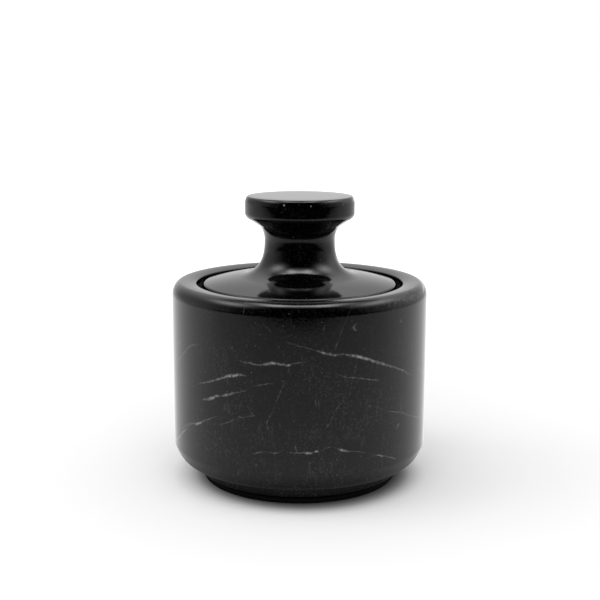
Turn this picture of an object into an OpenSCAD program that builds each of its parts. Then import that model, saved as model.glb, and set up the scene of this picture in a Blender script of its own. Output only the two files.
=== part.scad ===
// Turned stone jar with a lift-off lid, standing on a thin base pad.
// Every piece is turned about the Z axis, and the jar stands on the plane z = 0.

/* [Jar body] */
// Outer diameter of the jar
jar_d = 90.6; // [84:0.2:100]
// Height of the rim above the table
rim_h = 71.3; // [60:0.1:90]
// Thickness of the jar's wall at the hollow
wall_t = 13.3; // [11.5:0.1:16]
// Thickness of the jar's floor above the base pad
floor_t = 13; // [11:0.1:18]
// Radius of the round corner between the inner floor and the inner wall
floor_round = 6; // [3:0.1:9]

/* [Rim] */
// Width of the rim, from the mouth to the outer wall
rim_w = 8.6; // [7.4:0.1:9.6]
// Depth of the lid's ledge below the rim
ledge_depth = 5.3; // [4.5:0.1:7]
// Radial width of the round outer shoulder
shoulder_w = 3.3; // [2:0.1:4]
// Height of the round outer shoulder
shoulder_h = 4.8; // [3:0.1:7]
// Fall of the rim's crown towards the mouth
crown_drop = 0.55; // [0.2:0.05:0.9]
// Rounding of the rim's inner edge
mouth_round = 0.45; // [0.3:0.05:0.7]

/* [Heel and foot] */
// Radial inset of the crisp edge under the rounded heel
heel_w = 5.1; // [3:0.1:6]
// Height of the rounded heel above its crisp edge
heel_h = 6.3; // [4:0.1:8]
// Height of the turned foot between the base pad and the heel
foot_h = 5.1; // [4:0.1:7]
// Radial inset of the foot from the crisp heel edge
foot_inset = 3.9; // [2:0.1:5]
// Height of the bevel at the foot's lower edge
foot_bevel = 1.2; // [0.8:0.1:1.6]

/* [Base pad] */
// Thickness of the base pad
pad_t = 2; // [1.4:0.1:2.6]
// Radial inset of the pad from the foot
pad_inset = 1.6; // [1:0.1:4]
// Rounding of the pad's lower edge
pad_round = 0.9; // [0.4:0.1:1.2]

/* [Lid] */
// Radial gap between the lid and the mouth
lid_gap = 2.4; // [1:0.1:2.8]
// Height of the lid's upper edge above the ledge
lid_edge_h = 4.4; // [3.6:0.1:5]
// Height of the shallow dome over the lid's upper edge, as it would be at the axis
dome_h = 3.7; // [2.8:0.1:5.2]
// Rounding of the lid's upper edge
lid_round = 0.8; // [0.5:0.1:1.2]
// Radial gap between the plug and the jar's wall
plug_gap = 1.2; // [0.8:0.1:2]
// Depth of the plug below the ledge
plug_h = 7.5; // [6.8:0.1:9]
// Rounding of the plug's lower edge
plug_round = 1.2; // [0.6:0.1:1.8]

/* [Knob] */
// Height of the knob's flat top above the lid's upper edge
knob_h = 30.9; // [28:0.1:36]
// Diameter of the knob's cap
knob_d = 38.8; // [34:0.2:42]
// Height of the cap's straight side and its two roundings
cap_h = 8.2; // [6.6:0.1:9]
// Radial rounding of the cap's upper edge
cap_round_w = 1.2; // [0.8:0.1:1.6]
// Height of the rounding of the cap's upper edge
cap_round_h = 2.7; // [1.6:0.1:3]
// Radial rounding of the cap's lower edge
cap_under_w = 2.2; // [1.4:0.1:2.6]
// Height of the rounding of the cap's lower edge
cap_under_h = 2.2; // [1.4:0.1:2.6]
// Slope of the cone under the cap, in degrees
cone_slope = 33; // [24:1:38]
// Fillet between the cone and the neck
cone_fillet = 1.1; // [0.8:0.1:1.6]
// Diameter of the neck at its waist
neck_d = 25; // [22:0.2:27]
// Height of the waist above the lid's upper edge
waist_h = 15.4; // [14:0.1:16]
// Radial spread of the neck from its waist to the cone
neck_spread = 1.3; // [0.8:0.1:1.6]
// Radial width of the flare that joins the neck to the dome
flare_w = 10.2; // [8:0.1:12]

/* [Seal ring] */
// Height of the ring's groove above the plug's lower face
groove_lift = 2.2; // [2:0.1:2.6]
// Height of the groove
groove_h = 3; // [2.4:0.1:3.6]
// Depth of the groove in the plug
groove_depth = 1.8; // [1.4:0.1:2.4]
// Thickness of each fin of the ring
fin_t = 0.6; // [0.5:0.05:0.8]
// Running clearance of the ring, in its groove and against the jar's wall
ring_gap = 0.05; // [0.03:0.01:0.08]

/* [Hidden] */
$fn = 96;
arc_steps = 14;
short_steps = 8;

// Radii, from the outside of the jar inwards
jar_r = jar_d / 2;
mouth_r = jar_r - rim_w;
bore_r = jar_r - wall_t;
heel_r = jar_r - heel_w;
foot_r = heel_r - foot_inset;
pad_r = foot_r - pad_inset;
lid_r = mouth_r - lid_gap;
plug_r = bore_r - plug_gap;
groove_r = plug_r - groove_depth;
knob_r = knob_d / 2;
neck_r = neck_d / 2;

// Heights, from the table upwards
heel_z = pad_t + foot_h;
floor_z = pad_t + floor_t;
ledge_z = rim_h - ledge_depth;
plug_z = ledge_z - plug_h;
groove_z = plug_z + groove_lift;
lid_edge_z = ledge_z + lid_edge_h;
waist_z = lid_edge_z + waist_h;
knob_z = lid_edge_z + knob_h;

// The rim is highest where its shoulder starts, and falls towards the mouth
crown_r = jar_r - shoulder_w;
mouth_edge_r = mouth_r + mouth_round;
mouth_edge_z = rim_h - crown_drop;

// The cone leaves the rounding under the cap where both have the same slope
under_r = knob_r - cap_under_w;
under_z = knob_z - cap_h + cap_under_h;
under_angle = atan(cap_under_h / (cap_under_w * tan(cone_slope)));
cone_r = under_r + cap_under_w * cos(under_angle);
cone_z = under_z - cap_under_h * sin(under_angle);

// Corner where the neck would meet the cone without its fillet
corner_r = neck_r + neck_spread;
corner_z = cone_z - (cone_r - corner_r) * tan(cone_slope);

// Points on an ellipse's arc about (cx, cz), from angle a0 to angle a1
function arc(cx, cz, rx, rz, a0, a1, steps = short_steps) =
    [for (i = [0:steps])
        let (a = a0 + (a1 - a0) * i / steps)
        [cx + rx * cos(a), cz + rz * sin(a)]];

// Points on a curve from p to q that is drawn towards the corner c
function curve(p, c, q, steps = short_steps) =
    [for (i = [0:steps])
        let (t = i / steps)
        pow(1 - t, 2) * p + 2 * t * (1 - t) * c + pow(t, 2) * q];

// Height of the lid's dome at radius r: flatter than a ball's cap in the middle
dome_power = 2.6;
function dome_z(r) = lid_edge_z + dome_h * (1 - pow(r / lid_r, dome_power));

// The flare rises off the dome as a quarter of a full ellipse that ends upright at the waist
flare_power = 2.6;
flare_h = waist_z - dome_z(neck_r);
function flare_share(r) = max(0, min(1, (neck_r + flare_w - r) / flare_w));
function flare_z(r) = dome_z(r)
    + flare_h * (1 - pow(1 - pow(flare_share(r), flare_power), 1 / flare_power));

// Radius of the neck at height z, above its waist
function neck_top_r(z) = neck_r
    + neck_spread * pow((z - waist_z) / (corner_z - waist_z), 2);

// Height of the rim's crown at radius r, from the mouth to the shoulder
function crown_z(r) = rim_h
    - crown_drop * pow((crown_r - r) / (crown_r - mouth_edge_r), 2);

// The heel leaves the wall smoothly and runs out to the crisp edge
heel_power = 1.7;
heel = [for (i = [0:arc_steps])
    let (a = 90 * i / arc_steps)
    [heel_r + heel_w * sin(a), heel_z + heel_h * (1 - pow(cos(a), heel_power))]];

module jar_body() {
    color([0.07, 0.07, 0.075])
    rotate_extrude()
    polygon(concat(
        // Foot, bevelled where it meets the pad
        [[0, pad_t],
         [foot_r - 2 * foot_bevel, pad_t],
         [foot_r, pad_t + foot_bevel],
         [foot_r, heel_z]],
        // Heel, wall and shoulder
        heel,
        arc(crown_r, rim_h - shoulder_h, shoulder_w, shoulder_h, 0, 90, arc_steps),
        // Rim, mouth and ledge
        [for (i = [1:short_steps])
            let (r = crown_r + (mouth_edge_r - crown_r) * i / short_steps)
            [r, crown_z(r)]],
        arc(mouth_edge_r, mouth_edge_z - mouth_round, mouth_round, mouth_round, 100, 180),
        [[mouth_r, ledge_z],
         [bore_r, ledge_z]],
        // Hollow
        arc(bore_r - floor_round, floor_z + floor_round, floor_round, floor_round, 0, -90),
        [[0, floor_z]]));
}

module base_pad() {
    color([0.03, 0.03, 0.032])
    rotate_extrude()
    polygon(concat(
        [[0, 0]],
        arc(pad_r - pad_round, pad_round, pad_round, pad_round, -90, 0),
        [[pad_r, pad_t],
         [0, pad_t]]));
}

module lid() {
    color([0.08, 0.08, 0.085])
    rotate_extrude()
    polygon(concat(
        // Plug with the groove for the seal ring
        [[0, plug_z]],
        arc(plug_r - plug_round, plug_z + plug_round, plug_round, plug_round, -90, 0),
        [[plug_r, groove_z],
         [groove_r, groove_z],
         [groove_r, groove_z + groove_h],
         [plug_r, groove_z + groove_h],
         [plug_r, ledge_z],
         [lid_r, ledge_z]],
        // Edge and dome
        arc(lid_r - lid_round, dome_z(lid_r - lid_round) - lid_round,
            lid_round, lid_round, 0, 80),
        [for (i = [0:arc_steps])
            let (r = lid_r - lid_round
                + (neck_r + flare_w - lid_r + lid_round) * i / arc_steps)
            [r, dome_z(r)]],
        // Flare, with steps that shorten towards the neck
        [for (i = [1:2 * arc_steps])
            let (r = neck_r + flare_w * (1 - sin(90 * i / (2 * arc_steps))))
            [r, flare_z(r)]],
        // Neck and its fillet to the cone
        [for (i = [1:short_steps])
            let (z = waist_z + (corner_z - cone_fillet - waist_z) * i / short_steps)
            [neck_top_r(z), z]],
        curve([neck_top_r(corner_z - cone_fillet), corner_z - cone_fillet],
            [corner_r, corner_z],
            [corner_r + cone_fillet * cos(cone_slope),
             corner_z + cone_fillet * sin(cone_slope)]),
        // Cap
        arc(under_r, under_z, cap_under_w, cap_under_h, -under_angle, 0),
        arc(knob_r - cap_round_w, knob_z - cap_round_h, cap_round_w, cap_round_h, 0, 90),
        [[0, knob_z]]));
}

// Flexible ring in the plug's groove, with two fins that wipe the jar's wall
module lid_seal() {
    inner_r = groove_r + ring_gap;
    band_r = plug_r - fin_t / 2;
    outer_r = bore_r - ring_gap;
    low_z = groove_z + ring_gap;
    high_z = groove_z + groove_h - ring_gap;
    color([0.16, 0.16, 0.17])
    rotate_extrude()
    polygon([
        [inner_r, low_z],
        [band_r, low_z],
        [outer_r, low_z + fin_t / 2],
        [outer_r, low_z + fin_t],
        [band_r, low_z + fin_t],
        [band_r, high_z - fin_t],
        [outer_r, high_z - fin_t],
        [outer_r, high_z - fin_t / 2],
        [band_r, high_z],
        [inner_r, high_z]]);
}

jar_body();
base_pad();
lid();
lid_seal();
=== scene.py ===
import math

import bpy
from mathutils import Matrix, Vector


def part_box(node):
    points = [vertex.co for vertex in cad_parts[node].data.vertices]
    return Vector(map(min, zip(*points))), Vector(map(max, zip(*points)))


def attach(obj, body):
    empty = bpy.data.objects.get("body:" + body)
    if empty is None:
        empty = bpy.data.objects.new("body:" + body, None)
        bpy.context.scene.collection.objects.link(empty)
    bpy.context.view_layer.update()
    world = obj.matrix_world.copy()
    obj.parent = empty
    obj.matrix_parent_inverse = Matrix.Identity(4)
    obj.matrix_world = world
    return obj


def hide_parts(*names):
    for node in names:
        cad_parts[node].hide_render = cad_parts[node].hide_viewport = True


# A turned black marble jar with a drop-in lid, on white paper in a soft white tent.

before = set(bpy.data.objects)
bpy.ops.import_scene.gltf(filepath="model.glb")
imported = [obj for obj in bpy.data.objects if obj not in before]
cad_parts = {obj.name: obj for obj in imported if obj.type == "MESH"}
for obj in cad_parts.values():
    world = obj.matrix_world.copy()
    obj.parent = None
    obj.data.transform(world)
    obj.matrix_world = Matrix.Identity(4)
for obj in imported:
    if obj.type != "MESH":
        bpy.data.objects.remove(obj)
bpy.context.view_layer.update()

MM = 0.001

# Sizes read from the frame
jar_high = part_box("jar_body")[1]
pad_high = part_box("base_pad")[1]
lid_low, lid_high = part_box("lid")
seal_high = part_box("lid_seal")[1]

JAR_R = jar_high.x
RIM_Z = jar_high.z
PAD_R = pad_high.x
PAD_T = pad_high.z
LID_R = lid_high.x
KNOB_Z = lid_high.z
PLUG_Z = lid_low.z
SEAL_R = seal_high.x

# Jar: wall, rim, heel and foot
WALL_T = 13.3 * MM
FLOOR_T = 13 * MM
FLOOR_ROUND = 6 * MM
RIM_W = 8.6 * MM
LEDGE_DEPTH = 5.3 * MM
SHOULDER_W = 3.3 * MM
SHOULDER_H = 4.8 * MM
CROWN_DROP = 0.55 * MM
MOUTH_ROUND = 0.45 * MM
HEEL_W = 5.1 * MM
HEEL_H = 6.3 * MM
HEEL_POWER = 1.7
FOOT_H = 5.1 * MM
FOOT_INSET = 3.9 * MM
FOOT_BEVEL = 1.2 * MM
FOOT_EDGE = 0.6 * MM
UNDERCUT_ROUND = 0.8 * MM
PAD_ROUND = 0.9 * MM

# Lid: edge, dome, neck and knob
LID_EDGE_H = 4.4 * MM
DOME_H = 3.7 * MM
DOME_POWER = 2.6
LID_ROUND = 0.8 * MM
PLUG_GAP = 1.2 * MM
PLUG_ROUND = 1.2 * MM
KNOB_R = 19.4 * MM
CAP_H = 8.2 * MM
CAP_ROUND_W = 1.2 * MM
CAP_ROUND_H = 2.7 * MM
CAP_UNDER_W = 2.2 * MM
CAP_UNDER_H = 2.2 * MM
CONE_SLOPE = math.radians(33)
CONE_FILLET = 1.1 * MM
NECK_R = 12.5 * MM
WAIST_H = 15.4 * MM
NECK_SPREAD = 1.3 * MM
FLARE_W = 10.2 * MM
FLARE_POWER = 2.6

# Seal ring and its groove
GROOVE_LIFT = 2.2 * MM
GROOVE_H = 3 * MM
GROOVE_DEPTH = 1.8 * MM
GROOVE_EDGE = 0.15 * MM
FIN_T = 0.6 * MM
RING_EDGE = 0.12 * MM
RING_GAP = 0.05 * MM

# Rounding of every other sharp corner
EDGE = 0.25 * MM

# Radii and heights that follow from them
MOUTH_R = JAR_R - RIM_W
BORE_R = JAR_R - WALL_T
HEEL_R = JAR_R - HEEL_W
FOOT_R = HEEL_R - FOOT_INSET
HEEL_Z = PAD_T + FOOT_H
FLOOR_Z = PAD_T + FLOOR_T
LEDGE_Z = RIM_Z - LEDGE_DEPTH
CROWN_R = JAR_R - SHOULDER_W
MOUTH_EDGE_R = MOUTH_R + MOUTH_ROUND
MOUTH_EDGE_Z = RIM_Z - CROWN_DROP
LID_EDGE_Z = LEDGE_Z + LID_EDGE_H
WAIST_Z = LID_EDGE_Z + WAIST_H
PLUG_R = BORE_R - PLUG_GAP
GROOVE_R = PLUG_R - GROOVE_DEPTH
GROOVE_Z = PLUG_Z + GROOVE_LIFT

# How finely the lathe turns, and how finely each stretch of an outline is drawn
TURN_STEPS = 256
HEEL_STEPS = 24
WALL_STEPS = 8
SHOULDER_STEPS = 28
CROWN_STEPS = 12
DOME_STEPS = 16
FLARE_STEPS = 40
NECK_STEPS = 12
# Rings on the flat faces, as shares of the piece's radius there
MIDDLE_SHARE = 0.3
FLOOR_SHARES = (0.5, 0.1)
KNOB_SHARES = (0.7, 0.3)
# Points that are no further apart than this are one
SAME_POINT = 1e-7
# Corners up to this angle are shaded as one smooth surface
SMOOTH_ANGLE = math.radians(40)
# Degrees in a radian
DEGREES = math.degrees(1)


# Outlines: lists of (radius, height) that a turned piece follows

def arc(centre, across, up, start, end, steps):
    """Points on an ellipse's arc, from angle start to angle end, in degrees."""
    points = []
    for i in range(steps + 1):
        a = math.radians(start + (end - start) * i / steps)
        points.append((centre[0] + across * math.cos(a), centre[1] + up * math.sin(a)))
    return points


def spaced(start, end, steps):
    """Values at even steps from start to end, with both ends."""
    return [start + (end - start) * i / steps for i in range(steps + 1)]


def curve(start, corner, end, steps):
    """Points on a curve from start to end that is drawn towards the corner."""
    points = []
    for i in range(steps + 1):
        t = i / steps
        a, b, c = (1 - t) ** 2, 2 * t * (1 - t), t ** 2
        points.append(tuple(a * s + b * k + c * e for s, k, e in zip(start, corner, end)))
    return points


def eased(before, corner, after, size=EDGE, steps=4):
    """A corner with a small rounding, so that it catches the light."""
    start = Vector(corner) + (Vector(before) - Vector(corner)).normalized() * size
    end = Vector(corner) + (Vector(after) - Vector(corner)).normalized() * size
    return curve(tuple(start), corner, tuple(end), steps)


def dome_z(r):
    """Height of the lid's shallow dome at radius r."""
    return LID_EDGE_Z + DOME_H * (1 - (r / LID_R) ** DOME_POWER)


def flare_z(r):
    """Height of the flare that rises off the dome to the neck's waist."""
    share = min(1, max(0, (NECK_R + FLARE_W - r) / FLARE_W))
    rise = 1 - (1 - share ** FLARE_POWER) ** (1 / FLARE_POWER)
    return dome_z(r) + (WAIST_Z - dome_z(NECK_R)) * rise


def crown_z(r):
    """Height of the rim's crown at radius r."""
    return RIM_Z - CROWN_DROP * ((CROWN_R - r) / (CROWN_R - MOUTH_EDGE_R)) ** 2


def jar_outline():
    """From the foot's underside up the wall, over the rim and down to the hollow's floor."""
    heel = []
    for degrees in spaced(0, 90, HEEL_STEPS):
        a = math.radians(degrees)
        heel.append((HEEL_R + HEEL_W * math.sin(a),
                     HEEL_Z + HEEL_H * (1 - math.cos(a) ** HEEL_POWER)))
    foot_low = FOOT_R - 2 * FOOT_BEVEL
    wall_top = RIM_Z - SHOULDER_H
    points = [(foot_low, PAD_T)]
    points += eased((foot_low, PAD_T), (FOOT_R, PAD_T + FOOT_BEVEL), (FOOT_R, HEEL_Z), FOOT_EDGE)
    points += eased((FOOT_R, PAD_T), (FOOT_R, HEEL_Z), (HEEL_R, HEEL_Z), UNDERCUT_ROUND)
    points += eased((FOOT_R, HEEL_Z), heel[0], heel[1])
    points += heel[2:]
    points += [(JAR_R, z) for z in spaced(HEEL_Z + HEEL_H, wall_top, WALL_STEPS)[1:-1]]
    points += arc((CROWN_R, wall_top), SHOULDER_W, SHOULDER_H, 0, 90, SHOULDER_STEPS)
    points += [(r, crown_z(r)) for r in spaced(CROWN_R, MOUTH_EDGE_R, CROWN_STEPS)[1:]]
    points += arc((MOUTH_EDGE_R, MOUTH_EDGE_Z - MOUTH_ROUND), MOUTH_ROUND, MOUTH_ROUND, 100, 180, 8)
    points += eased((MOUTH_R, RIM_Z), (MOUTH_R, LEDGE_Z), (BORE_R, LEDGE_Z))
    points += eased((MOUTH_R, LEDGE_Z), (BORE_R, LEDGE_Z), (BORE_R, FLOOR_Z))
    points += arc((BORE_R - FLOOR_ROUND, FLOOR_Z + FLOOR_ROUND), FLOOR_ROUND, FLOOR_ROUND, 0, -90, 16)
    points += [(BORE_R * share, FLOOR_Z) for share in FLOOR_SHARES]
    return points


def pad_outline():
    """From the middle of the underside out, up the rounded edge and back in over the top."""
    middle = PAD_R * MIDDLE_SHARE
    points = [(middle, 0)]
    points += arc((PAD_R - PAD_ROUND, PAD_ROUND), PAD_ROUND, PAD_ROUND, -90, 0, 10)
    points += eased((PAD_R, 0), (PAD_R, PAD_T), (0, PAD_T))
    points += [(middle, PAD_T)]
    return points


def lid_outline():
    """From the plug's underside up past the groove, over the dome and up the neck to the knob's top."""
    # The cone leaves the rounding under the cap where both have the same slope
    under = (KNOB_R - CAP_UNDER_W, KNOB_Z - CAP_H + CAP_UNDER_H)
    under_angle = math.atan(CAP_UNDER_H / (CAP_UNDER_W * math.tan(CONE_SLOPE)))
    cone = (under[0] + CAP_UNDER_W * math.cos(under_angle),
            under[1] - CAP_UNDER_H * math.sin(under_angle))
    corner_r = NECK_R + NECK_SPREAD
    corner_z = cone[1] - (cone[0] - corner_r) * math.tan(CONE_SLOPE)

    def neck_r(z):
        """Radius of the neck at height z, wider towards the cap."""
        return NECK_R + NECK_SPREAD * ((z - WAIST_Z) / (corner_z - WAIST_Z)) ** 2

    edge_r = LID_R - LID_ROUND
    neck_end = corner_z - CONE_FILLET
    fillet_end = (corner_r + CONE_FILLET * math.cos(CONE_SLOPE),
                  corner_z + CONE_FILLET * math.sin(CONE_SLOPE))
    groove_top = GROOVE_Z + GROOVE_H
    points = [(PLUG_R * MIDDLE_SHARE, PLUG_Z)]
    points += arc((PLUG_R - PLUG_ROUND, PLUG_Z + PLUG_ROUND), PLUG_ROUND, PLUG_ROUND, -90, 0, 10)
    points += eased((PLUG_R, PLUG_Z), (PLUG_R, GROOVE_Z), (GROOVE_R, GROOVE_Z), GROOVE_EDGE)
    points += [(GROOVE_R, GROOVE_Z), (GROOVE_R, groove_top)]
    points += eased((GROOVE_R, groove_top), (PLUG_R, groove_top), (PLUG_R, LEDGE_Z), GROOVE_EDGE)
    points += eased((PLUG_R, GROOVE_Z), (PLUG_R, LEDGE_Z), (LID_R, LEDGE_Z))
    points += eased((PLUG_R, LEDGE_Z), (LID_R, LEDGE_Z), (LID_R, LID_EDGE_Z))
    points += arc((edge_r, dome_z(edge_r) - LID_ROUND), LID_ROUND, LID_ROUND, 0, 72, 10)
    points += [(r, dome_z(r)) for r in spaced(edge_r, NECK_R + FLARE_W, DOME_STEPS)]
    for degrees in spaced(0, 90, FLARE_STEPS)[1:]:
        r = NECK_R + FLARE_W * (1 - math.sin(math.radians(degrees)))
        points.append((r, flare_z(r)))
    points += [(neck_r(z), z) for z in spaced(WAIST_Z, neck_end, NECK_STEPS)[1:-1]]
    points += curve((neck_r(neck_end), neck_end), (corner_r, corner_z), fillet_end, 12)
    points += [((fillet_end[0] + cone[0]) / 2, (fillet_end[1] + cone[1]) / 2)]
    points += arc(under, CAP_UNDER_W, CAP_UNDER_H, -math.degrees(under_angle), 0, 14)
    points += arc((KNOB_R - CAP_ROUND_W, KNOB_Z - CAP_ROUND_H), CAP_ROUND_W, CAP_ROUND_H, 0, 90, 20)
    points += [(KNOB_R * share, KNOB_Z) for share in KNOB_SHARES]
    return points


def seal_outline():
    """Round the ring's section: a band in the groove with two fins that reach the jar's wall."""
    inner = GROOVE_R + RING_GAP
    band = PLUG_R - FIN_T / 2
    low = GROOVE_Z + RING_GAP
    high = GROOVE_Z + GROOVE_H - RING_GAP
    fin_low = [(band, low), (SEAL_R, low + FIN_T / 2), (SEAL_R, low + FIN_T), (band, low + FIN_T)]
    fin_high = [(band, high - FIN_T), (SEAL_R, high - FIN_T), (SEAL_R, high - FIN_T / 2), (band, high)]
    corners = [(inner, low)] + fin_low + fin_high + [(inner, high)]
    points = []
    for i, corner in enumerate(corners):
        before = corners[i - 1]
        after = corners[(i + 1) % len(corners)]
        points += eased(before, corner, after, RING_EDGE, 3)
    return points


# Turning an outline on the lathe

def turned(name, outline, closed_ring=False):
    """A ring at the outline's start is extruded from point to point, and its ends closed or joined."""
    bpy.ops.object.select_all(action="DESELECT")
    bpy.ops.mesh.primitive_circle_add(vertices=TURN_STEPS, radius=outline[0][0], fill_type="NOTHING")
    piece = bpy.context.object
    piece.name = name
    piece.data.name = name
    bpy.ops.object.mode_set(mode="EDIT")
    bpy.ops.mesh.select_all(action="SELECT")
    bpy.ops.transform.translate(value=(0, 0, outline[0][1]))
    path = outline[1:] + outline[:1] if closed_ring else outline[1:]
    r, z = outline[0]
    for next_r, next_z in path:
        if abs(next_r - r) + abs(next_z - z) < SAME_POINT:
            continue
        bpy.ops.mesh.extrude_edges_move(TRANSFORM_OT_translate={"value": (0, 0, next_z - z)})
        share = next_r / r
        bpy.ops.transform.resize(value=(share, share, 1), center_override=(0, 0, next_z))
        r, z = next_r, next_z
    if not closed_ring:
        bpy.ops.mesh.extrude_edges_move()
        bpy.ops.mesh.merge(type="CENTER")
        bpy.ops.mesh.select_all(action="DESELECT")
        bpy.ops.mesh.select_mode(type="EDGE")
        bpy.ops.mesh.select_non_manifold()
        bpy.ops.mesh.extrude_edges_move()
        bpy.ops.mesh.merge(type="CENTER")
    bpy.ops.mesh.select_all(action="SELECT")
    bpy.ops.mesh.remove_doubles(threshold=SAME_POINT)
    bpy.ops.mesh.normals_make_consistent(inside=False)
    bpy.ops.object.mode_set(mode="OBJECT")
    bpy.ops.object.shade_smooth_by_angle(angle=SMOOTH_ANGLE)
    return piece


# Materials

def material(name):
    """A new node material and its main shader."""
    made = bpy.data.materials.new(name)
    made.use_nodes = True
    tree = made.node_tree
    return made, tree, tree.nodes["Principled BSDF"]


def node(tree, kind, values=None, **settings):
    """A node with its settings made and its inputs set or linked."""
    made = tree.nodes.new("ShaderNode" + kind)
    for key, value in settings.items():
        setattr(made, key, value)
    for key, value in (values or {}).items():
        if isinstance(value, bpy.types.NodeSocket):
            tree.links.new(value, made.inputs[key])
        else:
            made.inputs[key].default_value = value
    return made


def maths(tree, operation, *values):
    """The result of a Math node, whose values are numbers or sockets."""
    return node(tree, "Math", dict(enumerate(values)), operation=operation).outputs[0]


def blend(tree, share, first, second):
    """The first value where the share is 0, and the second where it is 1."""
    return node(tree, "Mix", {0: share, 2: first, 3: second}).outputs[0]


def noise(tree, where, scale, detail=2.0, roughness=0.5, output="Fac"):
    """Uneven light and dark, or colour, whose scale is in times a metre."""
    made = node(tree, "TexNoise", {"Vector": where, "Scale": scale,
                                   "Detail": detail, "Roughness": roughness})
    return made.outputs[output]


def ramped(tree, value, low, high, to_low=0.0, to_high=1.0):
    """A smooth rise or fall, as the value goes from low to high."""
    made = node(tree, "MapRange", {"Value": value, "From Min": low, "From Max": high,
                                   "To Min": to_low, "To Max": to_high},
                interpolation_type="SMOOTHSTEP")
    return made.outputs[0]


def soft_spot(tree, value, middle, spread):
    """1 at the middle, and less the further the value is from it."""
    off = maths(tree, "DIVIDE", maths(tree, "SUBTRACT", value, middle), spread)
    return maths(tree, "EXPONENT", maths(tree, "MULTIPLY", maths(tree, "MULTIPLY", off, off), -0.5))


def float_curve(tree, value, points):
    """A curve through points (x, y), both from 0 to 1."""
    made = node(tree, "FloatCurve", {"Value": value})
    line = made.mapping.curves[0]
    while len(line.points) < len(points):
        line.points.new(0.5, 0.5)
    for spot, (x, y) in zip(line.points, points):
        spot.location = (x, y)
    made.mapping.update()
    return made.outputs[0]


# Seen width of a vein: the drawn width times its light times the first, and the second on top, in mm
VEIN_SPREAD = 1.35
VEIN_HAZE = 0.13


def stroke(tree, along, across, points, width, reach=1.0):
    """Brightness of one vein, drawn through points (along, across, light).

    The vein is as wide as it is light, so that it tapers to its ends. The
    reach turns a step across into millimetres.
    """
    first, last = points[0][0], points[-1][0]
    low = min(point[1] for point in points) - 1
    high = max(point[1] for point in points) + 1
    shares = [(point[0] - first) / (last - first) for point in points]
    at = node(tree, "MapRange", {"Value": along, "From Min": first, "From Max": last}).outputs[0]
    middles = [(point[1] - low) / (high - low) for point in points]
    middle = float_curve(tree, at, list(zip(shares, middles)))
    light = float_curve(tree, at, [(share, point[2]) for share, point in zip(shares, points)])
    middle = maths(tree, "MULTIPLY_ADD", middle, high - low, low)
    away = maths(tree, "ABSOLUTE", maths(tree, "SUBTRACT", across, middle))
    edge = maths(tree, "MULTIPLY_ADD", light, VEIN_SPREAD * width / reach, VEIN_HAZE / reach)
    return ramped(tree, away, 0.0, edge, light, 0.0)


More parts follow.
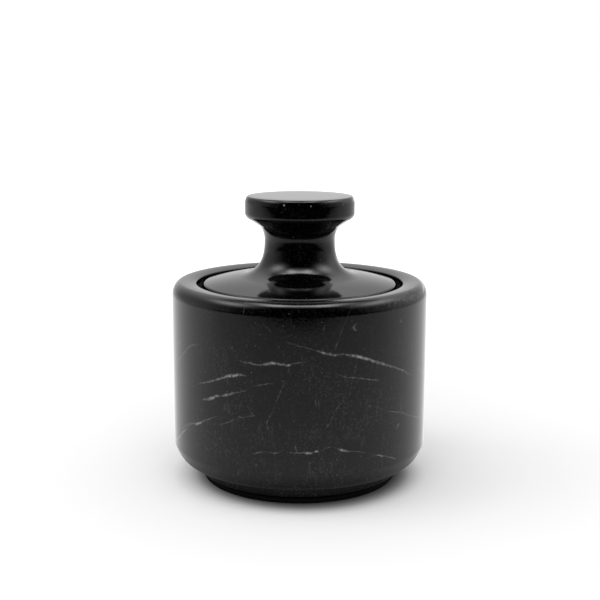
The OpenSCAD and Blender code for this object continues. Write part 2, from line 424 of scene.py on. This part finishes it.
# Veins on the front of the wall: the width in mm, and the points that it runs through, as
# (degrees to the right of the front, height in mm, light)
WALL_VEINS = [
    (0.34, [(-7.1, 59.3, 0), (-3.6, 58.3, 0.25), (-0.7, 57.8, 0.35), (2.8, 56.8, 0.3), (5.7, 56.1, 0.35),
            (8.1, 55.5, 0)]),
    (0.62, [(6.9, 55.8, 0), (8.4, 55.4, 0.6), (11, 54.8, 0.7), (14.6, 54.2, 0.6), (18.3, 54.2, 0.45),
            (21.5, 53.6, 0.7), (25.4, 52.9, 1), (29.5, 51.7, 0.85), (34.6, 50.1, 0.8), (39.4, 48.7, 0.65),
            (45.6, 46.9, 0.5), (50.7, 45.4, 0.6), (54.1, 43.8, 0.45), (60.2, 41.9, 0)]),
    (0.50, [(60.8, 44.7, 0), (65.1, 43.4, 0.4), (76.5, 40.2, 0.3), (90, 37.8, 0)]),
    (0.55, [(-25.6, 51.5, 0), (-21, 51.1, 0.5), (-17.3, 50.8, 0.5), (-14.2, 51.2, 0.8), (-11.2, 51.6, 0.95),
            (-7.6, 51.4, 0.7), (-4.1, 51.1, 0.75), (-2.4, 51.7, 0.4), (0.5, 52, 0.35), (2.8, 52.1, 0)]),
    (0.58, [(-51.7, 39.7, 0), (-44.1, 42, 0.5), (-38.1, 43.5, 0.65), (-33.4, 44.9, 0.6), (-30.5, 45.9, 0.9),
            (-27.7, 46.4, 1), (-24.3, 46.8, 0.6), (-21.7, 46.7, 0)]),
    (0.62, [(-47.1, 35.2, 0), (-43.3, 36.1, 0.8), (-40.3, 37, 1), (-37.4, 38, 0.7), (-34.2, 38.7, 0.5),
            (-32, 39.2, 0.7), (-28.4, 40.2, 0.45), (-25, 41.2, 0.35), (-20.8, 42.4, 0)]),
    (0.34, [(-19.5, 43.3, 0), (-17.3, 43.8, 0.35), (-14.8, 44.2, 0.4), (-11.8, 44.6, 0.25),
            (-10, 44.8, 0)]),
    (0.36, [(8.7, 49, 0), (13.5, 48.1, 0.15), (17.2, 47.3, 0.25), (20.3, 46.5, 0.4), (25.5, 45.8, 0.45),
            (29.6, 45, 0.5), (33.6, 44.2, 0.5), (35.9, 43.7, 0)]),
    (0.50, [(-78, 13.6, 0), (-72, 16.2, 0.8), (-66.3, 19, 0.85), (-61.6, 21.6, 0.8), (-58.1, 23.5, 0.4),
            (-55.1, 25.5, 0.4), (-51.5, 26.4, 0.7), (-48.8, 27, 0.9), (-44.4, 28.6, 0.45),
            (-40.8, 30.1, 0.45), (-36.7, 31.6, 0)]),
    (0.34, [(-64.2, 21.1, 0), (-61.1, 23.1, 0.45), (-56.7, 25.2, 0.4), (-53.8, 26.4, 0)]),
    (0.34, [(-36.7, 28.4, 0), (-34.8, 28.9, 0.35), (-31.4, 30, 0.5), (-27.1, 31.7, 0.3),
            (-22.5, 32.9, 0.35), (-19.9, 33.4, 0.45), (-18.3, 33.8, 0)]),
    (0.34, [(36.6, 33.5, 0), (40.7, 32.6, 0.2), (45.2, 31.6, 0.5), (49.2, 30.7, 0.4), (54.9, 29, 0.5),
            (62, 27, 0.5), (73.5, 23.9, 0.4), (90, 20.6, 0)]),
    (0.30, [(46.6, 32, 0), (49.2, 31.2, 0.4), (53.6, 29.7, 0.3), (56.2, 28.9, 0)]),
    (0.26, [(27, 36.1, 0), (32, 35.4, 0.25), (35.8, 34.4, 0.25), (40.7, 32.7, 0)]),
    (0.36, [(-20, 20.4, 0), (-17.4, 20.9, 0.45), (-14.9, 21.6, 0.3), (-11.9, 21.7, 0.35), (-9.9, 21.4, 0.5),
            (-7.4, 22.4, 0)]),
    (0.42, [(-5.6, 21.9, 0), (-2.3, 21.7, 0.45), (0.6, 21.9, 0.4), (3, 21.7, 0.65), (4.5, 21.6, 0.8),
            (5.9, 21.9, 0.5), (7.2, 22, 1), (8.3, 21.6, 0.2), (9.2, 21.3, 0)]),
    (0.30, [(8.3, 21.5, 0), (10.1, 22.4, 0.3), (12.2, 23.2, 0.35), (15, 22.9, 0.25), (16.5, 22.4, 0)]),
    (0.50, [(15.6, 22.7, 0), (17.2, 22.2, 0.6), (18.7, 21.7, 1), (20.3, 21.5, 0.5), (22.3, 21.2, 0.3),
            (24.6, 20.8, 0.4), (28.7, 20.1, 0.2), (30.9, 19.7, 0)]),
    (0.42, [(31.6, 18.9, 0), (33.9, 18.4, 0.3), (37.4, 17.7, 0.75), (40.3, 17, 0.35), (44.4, 15.7, 0.55),
            (46.8, 14.9, 0)]),
]
# Hairlines that run up and down: the width, and points (height, degrees to the right, light)
WALL_HAIRLINES = [
    (0.30, [(55.6, 14.6, 0), (56.7, 15.2, 0.4), (58.1, 15.8, 0.5), (59.7, 16.4, 0.25), (61.8, 17.6, 0.3),
            (63.6, 18.5, 0)]),
    (0.26, [(60.5, 8.9, 0), (61.4, 9.3, 0.2), (63, 10.1, 0.3), (64.6, 10.6, 0)]),
    (0.55, [(61.3, 24.9, 0), (61.9, 23.6, 0.6), (62.8, 22.7, 1), (63.6, 23.2, 0.9), (64.2, 24.5, 0)]),
    (0.80, [(61.9, 48.4, 0), (62.7, 47.9, 1), (63.4, 47.4, 0)]),
    (0.24, [(47.3, -4, 0), (48.8, -4.2, 0.25), (50.2, -4.1, 0.3), (51.4, -4, 0)]),
    (0.42, [(24.4, -12.7, 0), (26.4, -12.5, 0.15), (28.8, -12.3, 0.4), (31.1, -13.2, 0.5),
            (32.9, -12.4, 0.45), (35.2, -11.2, 0.35), (37.5, -10.1, 0.3), (39.3, -9.1, 0.35),
            (41.5, -7.9, 0.4), (43.2, -7.2, 0.5), (45.2, -5.3, 0)]),
    (0.30, [(28.5, 9.8, 0), (29.9, 11.3, 0.3), (31.1, 12.3, 0.6), (33.9, 14.2, 0.45), (36, 15.4, 0.4),
            (37.3, 16.8, 0.4), (38.9, 19.1, 0.35), (40.6, 21, 0.25), (42.7, 22, 0.3), (45.1, 22.4, 0.3),
            (47, 22.9, 0.3), (48.6, 23.5, 0.45), (50.2, 24, 0.4), (52.1, 24.4, 0)]),
    (0.34, [(27.8, 21.2, 0), (29.2, 20.9, 0.3), (30.1, 20, 0)]),
    (0.30, [(21.6, 26.6, 0), (22.8, 27.2, 0.25), (25.2, 27.9, 0.3), (27.1, 28.5, 0)]),
    (0.32, [(21.2, -0.9, 0), (22.6, -1.1, 0.4), (24.1, -1.5, 0.5), (25.3, -1.3, 0)]),
    (0.30, [(16, 3.3, 0), (17.5, 4.1, 0.3), (18.9, 5.1, 0.35), (20.1, 6, 0)]),
    (0.26, [(36.6, 6.9, 0), (37.5, 6.8, 0.4), (38.7, 6.7, 0.5), (39.7, 6.5, 0)]),
    (0.28, [(36.3, 8.2, 0), (37.3, 8.1, 0.5), (38.5, 8, 0.7), (39.7, 7.9, 0)]),
    (0.34, [(32.6, -29.8, 0), (33.8, -30.6, 0.5), (35.3, -30.3, 0.4), (37.1, -29.2, 0)]),
    (0.24, [(33.8, -32.5, 0), (35.2, -33, 0.4), (36.7, -32.6, 0)]),
    (0.34, [(32.8, -18, 0), (33.5, -19.1, 0.4), (34.8, -20.4, 0.45), (35.9, -21.3, 0.45),
            (37.3, -22.3, 0)]),
    (0.70, [(25.2, 46.4, 0), (26.5, 47.1, 0.9), (27.4, 47.8, 0)]),
    (1.10, [(26.2, 71.5, 0), (27.8, 71.5, 0.9), (29.4, 72.6, 0)]),
    (0.60, [(42.6, -75.1, 0), (47.4, -64.1, 0.8), (51, -58, 0.8), (53.4, -52.9, 0.8), (54.7, -47.5, 0)]),
    (0.50, [(49.5, -70.9, 0), (52.2, -66.1, 0.8), (54.3, -60.7, 0)]),
    (0.26, [(61.3, -11.2, 0), (62.4, -11.8, 0.3), (63.7, -14.2, 0.4), (64.9, -14.8, 0)]),
    (0.30, [(54.4, -27.6, 0), (55.2, -28.6, 0.35), (56.2, -28.2, 0)]),
    (0.30, [(30.3, -7.4, 0), (31.2, -7.9, 0.4), (32.2, -8.5, 0)]),
    (0.30, [(43, -30.5, 0), (43.9, -31.2, 0.5), (44.8, -31.9, 0)]),
    (0.30, [(65.6, -23.5, 0), (68.5, -23.3, 0.35), (71.5, -23.2, 0.55), (72.5, -23.2, 0)]),
    (0.30, [(63.4, 18.4, 0), (66.8, 20, 0.4), (69, 21.6, 0.4), (71.4, 23.5, 0.2), (72.5, 24.2, 0)]),
]
# Millimetres that one degree takes up on a wall of 45 mm radius
WALL_ARC = math.pi * 45 / 180

# Patterns in the marble, in times a metre
TINT_SCALE = 40
CLOUD_SCALE = 60
GRAIN_SCALE = 1300
FIBRE_SCALE = 1000
CRUMB_SCALE = 800
MOTTLE_SCALE = 900
# Upright scale of the fibres next to their scale across
FIBRE_DRAW = 0.16
# Brightness of the stone and of what shows in it, next to white
STONE_LIGHT = 0.0004
GRAIN_LIGHT = 0.0075
FIBRE_LIGHT = 0.0045
SPECK_LIGHT = 0.05
FLECK_LIGHT = 0.08
KNOB_FLECK_LIGHT = 0.45
VEIN_LIGHT = 0.205
HAIRLINE_LIGHT = 0.095
PATCH_LIGHT = 0.07
# Shares of the grain that show in dark and in light clouds, and on the wall and on the rim; on the wall the
# grain is also a painted glint, the speckle in the mirrored table
CLOUD_SHARES = (0.35, 1.25)
GRAIN_AND_GLINT_SHARES = (2.3, 0.6)
# The grain and its painted glint turn from the wall's to the rim's between these heights
GRAIN_AND_GLINT_FROM = RIM_Z - 26 * MM
GRAIN_AND_GLINT_TO = RIM_Z - 4 * MM
# Tints that the stone wanders between
GREEN_TINT = (0.95, 1.0, 0.97, 1)
PLAIN_TINT = (1.0, 0.99, 1.0, 1)
# Pale grains: (cells in a metre, share of the cells that hold one, radius next to a cell)
SPECKS = (650, 0.4, 0.20)
FLECKS = (330, 0.4, 0.10)
KNOB_FLECKS = (450, 0.45, 0.20)
# The knob's flecks start this far below its cap, and this far under its top they get fewer
KNOB_FADE = 2 * MM
TOP_FADE = 1 * MM
TOP_SHARE = 0.2
# The polish: roughness from grain to grain, what a vein adds, and the grain's relief
ROUGHNESS = (0.045, 0.085)
VEIN_ROUGHNESS = 0.5
GRAIN_RELIEF = 0.015 * MM
STONE_IOR = 1.5
STONE_GLOSS = 0.24
# What shakes the drawn veins: (times a metre, how far)
VEIN_SHAKES = [(240, 1.1 * MM), (800, 0.95 * MM), (2400, 0.4 * MM)]
# Shares of their light that crumbs take from the veins and from the hairlines
VEIN_CRUMB_SHARE = 0.75
LINE_CRUMB_SHARE = 0.8
# Degrees off the front between which the veins end, and from which the back's begin
VEINS_END = (84.0, 92.0)
BACK_FROM = 93.0
# Heights on the back, in mm, count down from here
BACK_HEIGHT = 73.0
# The mottled patch on the right of the shoulder: middle and spread, in degrees and in mm of height
PATCH_ROUND = (60.0, 14.0)
PATCH_HEIGHT = (70.0, 1.6)


def specks(tree, place, scale, share, size):
    """Round pale grains: one in some cells of the stone, each with a light of its own."""
    cells = node(tree, "TexVoronoi", {"Vector": place, "Scale": scale})
    chance = node(tree, "SeparateColor", {0: cells.outputs["Color"]})
    grain = ramped(tree, cells.outputs["Distance"], 0.3 * size, size, 1.0, 0.0)
    there = maths(tree, "GREATER_THAN", chance.outputs[0], 1 - share)
    # Squared, so that most are faint
    light = maths(tree, "MULTIPLY", there, maths(tree, "POWER", chance.outputs[1], 2.0))
    return maths(tree, "MULTIPLY", grain, light)


def marble(name, draw_veins=None):
    """Black marble: dark clouds, fine grain and fibres, pale specks and drawn veins under a polish.

    The grain shows more on the jar's wall, below the rim, than on the lid and rim: on the wall it is partly
    the stone's grain and partly a painted glint, the speckle in the mirrored table.
    """
    made, tree, shader = material(name)
    place = node(tree, "TexCoord").outputs["Object"]
    clouds = noise(tree, place, CLOUD_SCALE, 4, 0.6)
    grain = noise(tree, place, GRAIN_SCALE, 3, 0.65)
    upright = node(tree, "Mapping", {"Vector": place, "Scale": (1, 1, FIBRE_DRAW)}).outputs[0]
    fibres = noise(tree, upright, FIBRE_SCALE, 3, 0.6)
    patchy = ramped(tree, clouds, 0.38, 0.62, *CLOUD_SHARES)
    mottled = maths(tree, "ADD", ramped(tree, grain, 0.46, 0.78, 0.0, GRAIN_LIGHT),
                    ramped(tree, fibres, 0.55, 0.76, 0.0, FIBRE_LIGHT))
    height = node(tree, "SeparateXYZ", {0: place}).outputs[2]
    # Grain, and below the rim a painted glint: the mottling is made brighter on the wall
    grain_and_glint = ramped(tree, height, GRAIN_AND_GLINT_FROM, GRAIN_AND_GLINT_TO, *GRAIN_AND_GLINT_SHARES)
    mottled = maths(tree, "MULTIPLY", mottled, grain_and_glint)
    stone = maths(tree, "MULTIPLY_ADD", mottled, patchy, STONE_LIGHT)
    small = maths(tree, "MULTIPLY", specks(tree, place, *SPECKS), SPECK_LIGHT)
    flecks = maths(tree, "MULTIPLY_ADD", specks(tree, place, *FLECKS), FLECK_LIGHT, small)
    cap_z = KNOB_Z - CAP_H
    on_knob = ramped(tree, height, cap_z - KNOB_FADE, cap_z, 0.0, KNOB_FLECK_LIGHT)
    below_top = ramped(tree, height, KNOB_Z - TOP_FADE, KNOB_Z, 1.0, TOP_SHARE)
    on_cap_side = maths(tree, "MULTIPLY", on_knob, below_top)
    pale = maths(tree, "MULTIPLY_ADD", specks(tree, place, *KNOB_FLECKS), on_cap_side, flecks)
    if draw_veins:
        pale = maths(tree, "MAXIMUM", pale, draw_veins(tree, place))
    stone = maths(tree, "ADD", stone, pale)
    tint = node(tree, "Mix", {"Factor": noise(tree, place, TINT_SCALE, 2), "A": GREEN_TINT,
                              "B": PLAIN_TINT}, data_type="RGBA")
    colour = node(tree, "VectorMath", {0: tint.outputs["Result"], "Scale": stone}, operation="SCALE")
    tree.links.new(colour.outputs[0], shader.inputs["Base Color"])
    polish = ramped(tree, grain, 0.3, 0.7, *ROUGHNESS)
    dull = maths(tree, "MULTIPLY_ADD", pale, VEIN_ROUGHNESS, polish)
    tree.links.new(dull, shader.inputs["Roughness"])
    relief = node(tree, "Bump", {"Height": grain, "Strength": 1.0, "Distance": GRAIN_RELIEF})
    tree.links.new(relief.outputs[0], shader.inputs["Normal"])
    shader.inputs["IOR"].default_value = STONE_IOR
    shader.inputs["Specular IOR Level"].default_value = STONE_GLOSS
    return made


def wall_veins(tree, place):
    """Veins in the block that the jar is turned from, by angle and height."""
    moved = place
    for scale, size in VEIN_SHAKES:
        shake = noise(tree, place, scale, 3, 0.6, "Color")
        shift = node(tree, "VectorMath", {0: shake, 1: (0.5, 0.5, 0.5)}, operation="SUBTRACT")
        shift = node(tree, "VectorMath", {0: shift.outputs[0], "Scale": size}, operation="SCALE")
        moved = node(tree, "VectorMath", {0: moved, 1: shift.outputs[0]}, operation="ADD").outputs[0]
    parts = node(tree, "SeparateXYZ", {0: moved})
    front = maths(tree, "MULTIPLY", parts.outputs[1], -1.0)
    angle = maths(tree, "MULTIPLY", maths(tree, "ARCTAN2", parts.outputs[0], front), DEGREES)
    height = maths(tree, "MULTIPLY", parts.outputs[2], 1 / MM)
    # The back has the same drawing, turned upside down, and none runs over the sides
    back = maths(tree, "GREATER_THAN", maths(tree, "ABSOLUTE", angle), BACK_FROM)
    half_turn = maths(tree, "MULTIPLY", maths(tree, "SIGN", angle), 180.0)
    angle = blend(tree, back, angle, maths(tree, "SUBTRACT", half_turn, angle))
    height = blend(tree, back, height, maths(tree, "SUBTRACT", BACK_HEIGHT, height))
    veins = 0.0
    for width, points in WALL_VEINS:
        veins = maths(tree, "MAXIMUM", veins, stroke(tree, angle, height, points, width))
    lines = 0.0
    for width, points in WALL_HAIRLINES:
        lines = maths(tree, "MAXIMUM", lines, stroke(tree, height, angle, points, width, WALL_ARC))
    ends = ramped(tree, maths(tree, "ABSOLUTE", angle), *VEINS_END, 1.0, 0.0)
    crumbs = ramped(tree, noise(tree, place, CRUMB_SCALE, 4, 0.7), 0.38, 0.60)
    dots = ramped(tree, noise(tree, place, CRUMB_SCALE, 3, 0.6), 0.45, 0.62)
    whole = maths(tree, "MULTIPLY_ADD", crumbs, VEIN_CRUMB_SHARE, 1 - VEIN_CRUMB_SHARE)
    veins = maths(tree, "MULTIPLY", maths(tree, "POWER", veins, 1.4), whole)
    whole = maths(tree, "MULTIPLY_ADD", dots, LINE_CRUMB_SHARE, 1 - LINE_CRUMB_SHARE)
    lines = maths(tree, "MULTIPLY", lines, whole)
    lines = maths(tree, "MULTIPLY", lines, HAIRLINE_LIGHT)
    both = maths(tree, "MULTIPLY_ADD", veins, VEIN_LIGHT, lines)
    patch = maths(tree, "MULTIPLY", soft_spot(tree, angle, *PATCH_ROUND),
                  soft_spot(tree, height, *PATCH_HEIGHT))
    mottle = ramped(tree, noise(tree, place, MOTTLE_SCALE, 4, 0.7), 0.47, 0.70, 0.0, PATCH_LIGHT)
    both = maths(tree, "MULTIPLY_ADD", patch, mottle, both)
    return maths(tree, "MULTIPLY", both, ends)


RUBBER_GRAIN_SCALE = 1500
RUBBER_RELIEF = 0.1 * MM


def dull_rubber(name, grey, roughness, gloss):
    """Rubber or silicone in one grey, with a fine dull grain."""
    made, tree, shader = material(name)
    place = node(tree, "TexCoord").outputs["Object"]
    grain = noise(tree, place, RUBBER_GRAIN_SCALE, 2)
    shade = ramped(tree, grain, 0.3, 0.7, 0.8 * grey, 1.2 * grey)
    colour = node(tree, "CombineColor", {0: shade, 1: shade, 2: shade})
    tree.links.new(colour.outputs[0], shader.inputs["Base Color"])
    shader.inputs["Roughness"].default_value = roughness
    shader.inputs["Specular IOR Level"].default_value = gloss
    relief = node(tree, "Bump", {"Height": grain, "Strength": 0.2, "Distance": RUBBER_RELIEF})
    tree.links.new(relief.outputs[0], shader.inputs["Normal"])
    return made


# Pieces

def dress(piece, finish, body, cad_node):
    """A piece gets its finish, the CAD node that it stands for and the body that it moves with."""
    piece.data.materials.append(finish)
    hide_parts(cad_node)
    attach(piece, body)


jar = turned("jar", jar_outline())
pad = turned("pad", pad_outline())
lid = turned("domed_lid", lid_outline())
ring = turned("seal_ring", seal_outline(), closed_ring=True)

dress(jar, marble("jar marble", wall_veins), "jar", "jar_body")
dress(pad, dull_rubber("pad rubber", 0.003, 0.7, 0.05), "jar", "base_pad")
dress(lid, marble("lid marble"), "lid", "lid")
dress(ring, dull_rubber("ring silicone", 0.1, 0.45, 0.5), "seal", "lid_seal")


# Stage: a white table in a white tent, soft lamps, and a dark room on the camera's side

def stepped(tree, value, points):
    """A smooth curve through points (x, y) of any size."""
    low, high = points[0][0], points[-1][0]
    top = max(y for _, y in points)
    at = node(tree, "MapRange", {"Value": value, "From Min": low, "From Max": high}).outputs[0]
    shares = [((x - low) / (high - low), y / top) for x, y in points]
    return maths(tree, "MULTIPLY", float_curve(tree, at, shares), top)


# Painted light and shade of the paper as the polish mirrors it: by depth in metres, darker towards the
# camera and black past the table's front edge, and by distance from the axis, a painted shadow close round
# the jar
PAPER_DEPTH = [(-0.45, 0.0), (-0.372, 0.0), (-0.369, 0.42), (-0.34, 0.52), (-0.30, 0.68), (-0.26, 0.80),
               (-0.18, 0.95), (-0.14, 1.03), (-0.09, 1.18), (-0.04, 1.33), (0.0, 1.38), (0.15, 1.38)]
PAPER_NEAR = [(0.034, 0.05), (0.040, 0.12), (0.045, 0.25), (0.050, 0.5), (0.057, 0.72), (0.07, 0.88),
              (0.10, 0.98), (0.15, 1.0), (0.45, 1.0), (0.8, 0.68), (1.2, 0.65)]
# The paper's own white, and the share of it that a painted shadow leaves under the heel, by distance
PAPER = 0.85
PAINTED_HEEL_SHADOW = [(0.033, 0.10), (0.035, 0.22), (0.037, 0.38), (0.039, 0.62), (0.041, 0.88),
                (0.0425, 0.98), (0.044, 1.02), (0.048, 1.0), (0.06, 1.0)]
# Left of the axis a point counts as further out, by this share of its distance to the left, so the painted
# shadow reaches less far in there
SHADOW_LEFT_SHARE = 0.07
# Light that the paper is given of its own, by distance from the jar's axis
PAPER_LIFT = [(0.0, 0.0), (0.038, 0.0), (0.050, 0.06), (0.065, 0.04), (0.12, 0.04), (0.25, 0.20),
              (0.45, 0.40), (0.8, 0.80), (1.0, 0.85)]


def seen_straight(tree, path):
    """1 for what the camera sees itself or through glass, and 0 for light and mirror images."""
    return maths(tree, "MAXIMUM", path.outputs["Is Camera Ray"], path.outputs["Is Transmission Ray"])


def table_paper():
    """White paper with a painted shadow under the heel, kept white where the lamps no longer reach it, and
    painted light and shade where the polish mirrors it.
    """
    made = bpy.data.materials.new("table paper")
    made.use_nodes = True
    tree = made.node_tree
    tree.nodes.clear()
    path = node(tree, "LightPath")
    place = node(tree, "TexCoord").outputs["Object"]
    parts = node(tree, "SeparateXYZ", {0: place})
    flat = node(tree, "VectorMath", {0: place, 1: (1, 1, 0)}, operation="MULTIPLY")
    far = node(tree, "VectorMath", {0: flat.outputs[0]}, operation="LENGTH").outputs["Value"]
    lift = maths(tree, "MULTIPLY", float_curve(tree, far, PAPER_LIFT), seen_straight(tree, path))
    # Painted shadow: the paper's white is darkened close round the pad, a little less far in on the left,
    # where the left lamp is
    on_left = maths(tree, "MAXIMUM", maths(tree, "MULTIPLY", parts.outputs[0], -1.0), 0.0)
    shadow_far = maths(tree, "MULTIPLY_ADD", on_left, SHADOW_LEFT_SHARE, far)
    shade = maths(tree, "MULTIPLY", stepped(tree, shadow_far, PAINTED_HEEL_SHADOW), PAPER)
    paper = node(tree, "BsdfDiffuse", {"Color": shade})
    glow = node(tree, "Emission", {"Strength": lift})
    both = node(tree, "AddShader", {0: paper.outputs[0], 1: glow.outputs[0]})
    # Painted reflection: the paper that the polish mirrors glows with this painted light and shade
    mirrored = maths(tree, "MULTIPLY", stepped(tree, parts.outputs[1], PAPER_DEPTH),
                     stepped(tree, far, PAPER_NEAR))
    image = node(tree, "Emission", {"Strength": mirrored})
    mixed = node(tree, "MixShader", {0: path.outputs["Is Glossy Ray"], 1: both.outputs[0],
                                     2: image.outputs[0]})
    node(tree, "OutputMaterial", {"Surface": mixed.outputs[0]})
    return made


# The tent as the polish mirrors it: brightness by height in degrees, and share by degrees from the back
TENT_HEIGHT = [(-12, 0.92), (0, 0.94), (10, 0.94), (18, 0.90), (25, 1.00), (32, 1.32), (40, 1.70),
               (47, 1.9), (52, 1.3), (58, 0.75), (70, 0.5), (90, 0.2)]
TENT_ROUND = [(0, 1.0), (75, 1.0), (90, 0.9), (100, 0.7), (110, 0.5), (118, 0.28), (128, 0.08),
              (140, 0.0), (180, 0.0)]
# The strip lamp over the camera's side: brightness by height, and share by degrees from the back
STRIP_HEIGHT = [(40, 0.0), (46, 0.1), (50, 0.6), (55, 1.8), (60, 4.2), (65, 8.0), (70, 11.0), (73, 9.0),
                (78, 1.5), (84, 0.0), (90, 0.0)]
STRIP_ROUND = [(60, 0.0), (82, 0.3), (98, 0.6), (115, 0.7), (130, 1.0), (180, 1.0)]
# Soft lamps and one dark panel in it:
# (degrees to the right of the back, spread, height in degrees, spread, brightness)
LAMPS = [(-103, 17, 43, 7.5, 6.3), (92, 19, 42, 8, 5.2), (-143, 12, 62, 5, 6.5), (143, 12, 62, 5, 6.5),
         (-48, 15, 6, 9, -0.38), (22, 7, -2, 4, 1.3), (68, 12, 20, 9, 0.8)]
# How strongly the surround lights what isn't polished
FILL = 0.87


def tent():
    """A surround that is white where it is seen, and a lit tent where it is mirrored."""
    world = bpy.data.worlds.new("white tent")
    world.use_nodes = True
    tree = world.node_tree
    path = node(tree, "LightPath")
    way = node(tree, "SeparateXYZ", {0: node(tree, "TexCoord").outputs["Generated"]})
    height = maths(tree, "MULTIPLY", maths(tree, "ARCSINE", way.outputs[2]), DEGREES)
    turn = maths(tree, "MULTIPLY", maths(tree, "ARCTAN2", way.outputs[0], way.outputs[1]), DEGREES)
    off_back = maths(tree, "ABSOLUTE", turn)
    walls = maths(tree, "MULTIPLY", stepped(tree, height, TENT_HEIGHT),
                  stepped(tree, off_back, TENT_ROUND))
    strip = maths(tree, "MULTIPLY", stepped(tree, height, STRIP_HEIGHT),
                  stepped(tree, off_back, STRIP_ROUND))
    total = maths(tree, "ADD", walls, strip)
    for round_at, round_spread, high_at, high_spread, light in LAMPS:
        spot = maths(tree, "MULTIPLY", soft_spot(tree, turn, round_at, round_spread),
                     soft_spot(tree, height, high_at, high_spread))
        total = maths(tree, "MULTIPLY_ADD", spot, light, total)
    plain_light = maths(tree, "MULTIPLY_ADD", seen_straight(tree, path), 1 - FILL, FILL)
    strength = blend(tree, path.outputs["Is Glossy Ray"], plain_light, total)
    tree.links.new(strength, tree.nodes["Background"].inputs["Strength"])
    tree.nodes["Background"].inputs["Color"].default_value = (1, 1, 1, 1)
    bpy.context.scene.world = world


# Width of the table in metres, and where the lamps point
TABLE_W = 16
JAR_MIDDLE = (0, 0, 0.07)


def softbox(name, place, size, strength):
    """A soft lamp that faces the jar, whose strength is its brightness next to white."""
    lamp = bpy.data.lights.new(name, "AREA")
    lamp.shape = "RECTANGLE"
    lamp.size, lamp.size_y = size
    lamp.energy = strength * size[0] * size[1] * math.pi
    made = bpy.data.objects.new(name, lamp)
    made.location = place
    made.rotation_euler = (Vector(JAR_MIDDLE) - Vector(place)).to_track_quat("-Z", "Y").to_euler()
    made.visible_glossy = False
    bpy.context.scene.collection.objects.link(made)


bpy.ops.object.select_all(action="DESELECT")
bpy.ops.mesh.primitive_plane_add(size=TABLE_W)
table = bpy.context.object
table.name = "table"
table.data.materials.append(table_paper())

tent()
softbox("overhead softbox", (-0.08, -0.10, 0.8), (0.6, 0.5), 1.27)
softbox("front softbox", (0, -1.3, 0.5), (1.6, 0.6), 2.15)
softbox("left softbox", (-1.0, -0.1, 0.9), (0.8, 0.8), 1.28)


# Camera at the photograph's place: level sides, looking a little down
CAMERA_BACK = 401.9 * MM
CAMERA_UP = 140.3 * MM
CAMERA_DOWN = math.radians(10.77)
CAMERA_ASIDE = 0.16 * MM
CAMERA_ROLL = math.radians(0.17)
FOCAL_PX = 1142.2
IMAGE_PX = 600

lens = bpy.data.cameras.new("camera")
lens.sensor_width = 36
lens.lens = FOCAL_PX / IMAGE_PX * lens.sensor_width
lens.clip_start = 0.01
camera = bpy.data.objects.new("camera", lens)
camera.location = (CAMERA_ASIDE, -CAMERA_BACK, CAMERA_UP)
tilt = Matrix.Rotation(math.radians(90) - CAMERA_DOWN, 3, "X")
camera.rotation_euler = (tilt @ Matrix.Rotation(CAMERA_ROLL, 3, "Z")).to_euler()
bpy.context.scene.collection.objects.link(camera)
bpy.context.scene.camera = camera

bpy.context.scene.view_settings.view_transform = "Standard"
